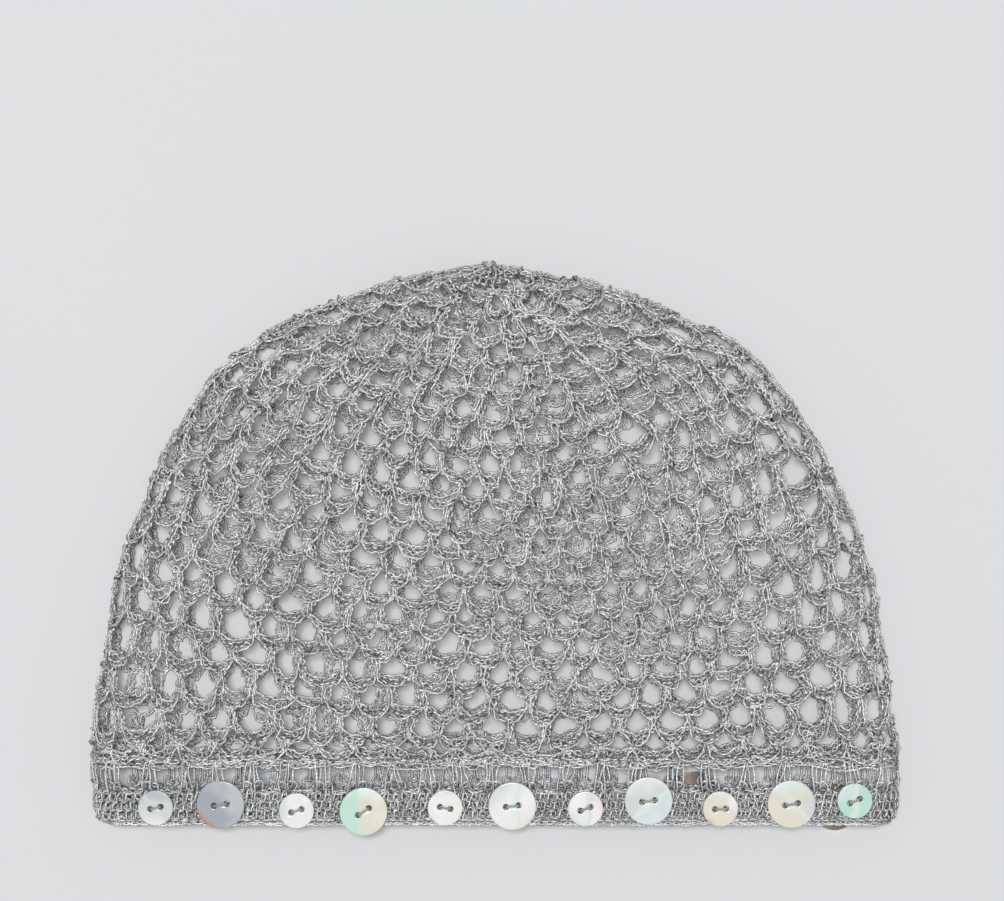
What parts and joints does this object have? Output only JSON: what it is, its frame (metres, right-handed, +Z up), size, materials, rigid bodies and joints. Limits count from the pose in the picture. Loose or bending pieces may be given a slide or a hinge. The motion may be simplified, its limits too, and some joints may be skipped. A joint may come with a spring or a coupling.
{
  "type": "crochet skullcap with shell buttons",
  "caption": "Open-work grey crochet skullcap lying flat, worked in the round from the crown to a dense band, with large and small two-hole shell buttons sewn all round the band.",
  "frame": {"origin": "on the table, under the middle of the lying cap's box", "axes": "+Z up from the table, +X along the rim to the right, +Y from the rim to the crown centre"},
  "size_m": [0.2646, 0.1874, 0.0258],
  "materials": {
    "yarn": "satin",
    "shell": "polished",
    "thread": "satin"
  },
  "bodies": {
    "root": {"crown_net": "yarn", "post_row": "yarn", "band": "yarn", "edge_chain": "yarn", "crown_centre": "yarn", "button_front_01": "shell", "button_front_02": "shell", "button_front_03": "shell", "button_front_04": "shell", "button_front_05": "shell", "button_front_06": "shell", "button_front_07": "shell", "button_front_08": "shell", "button_front_09": "shell", "button_front_10": "shell", "button_front_11": "shell", "button_back_01": "shell", "button_back_02": "shell", "button_back_03": "shell", "button_back_04": "shell", "button_back_05": "shell", "button_back_06": "shell", "button_back_07": "shell", "button_back_08": "shell", "button_back_09": "shell", "button_back_10": "shell", "button_back_11": "shell"}
  },
  "joints": []
}
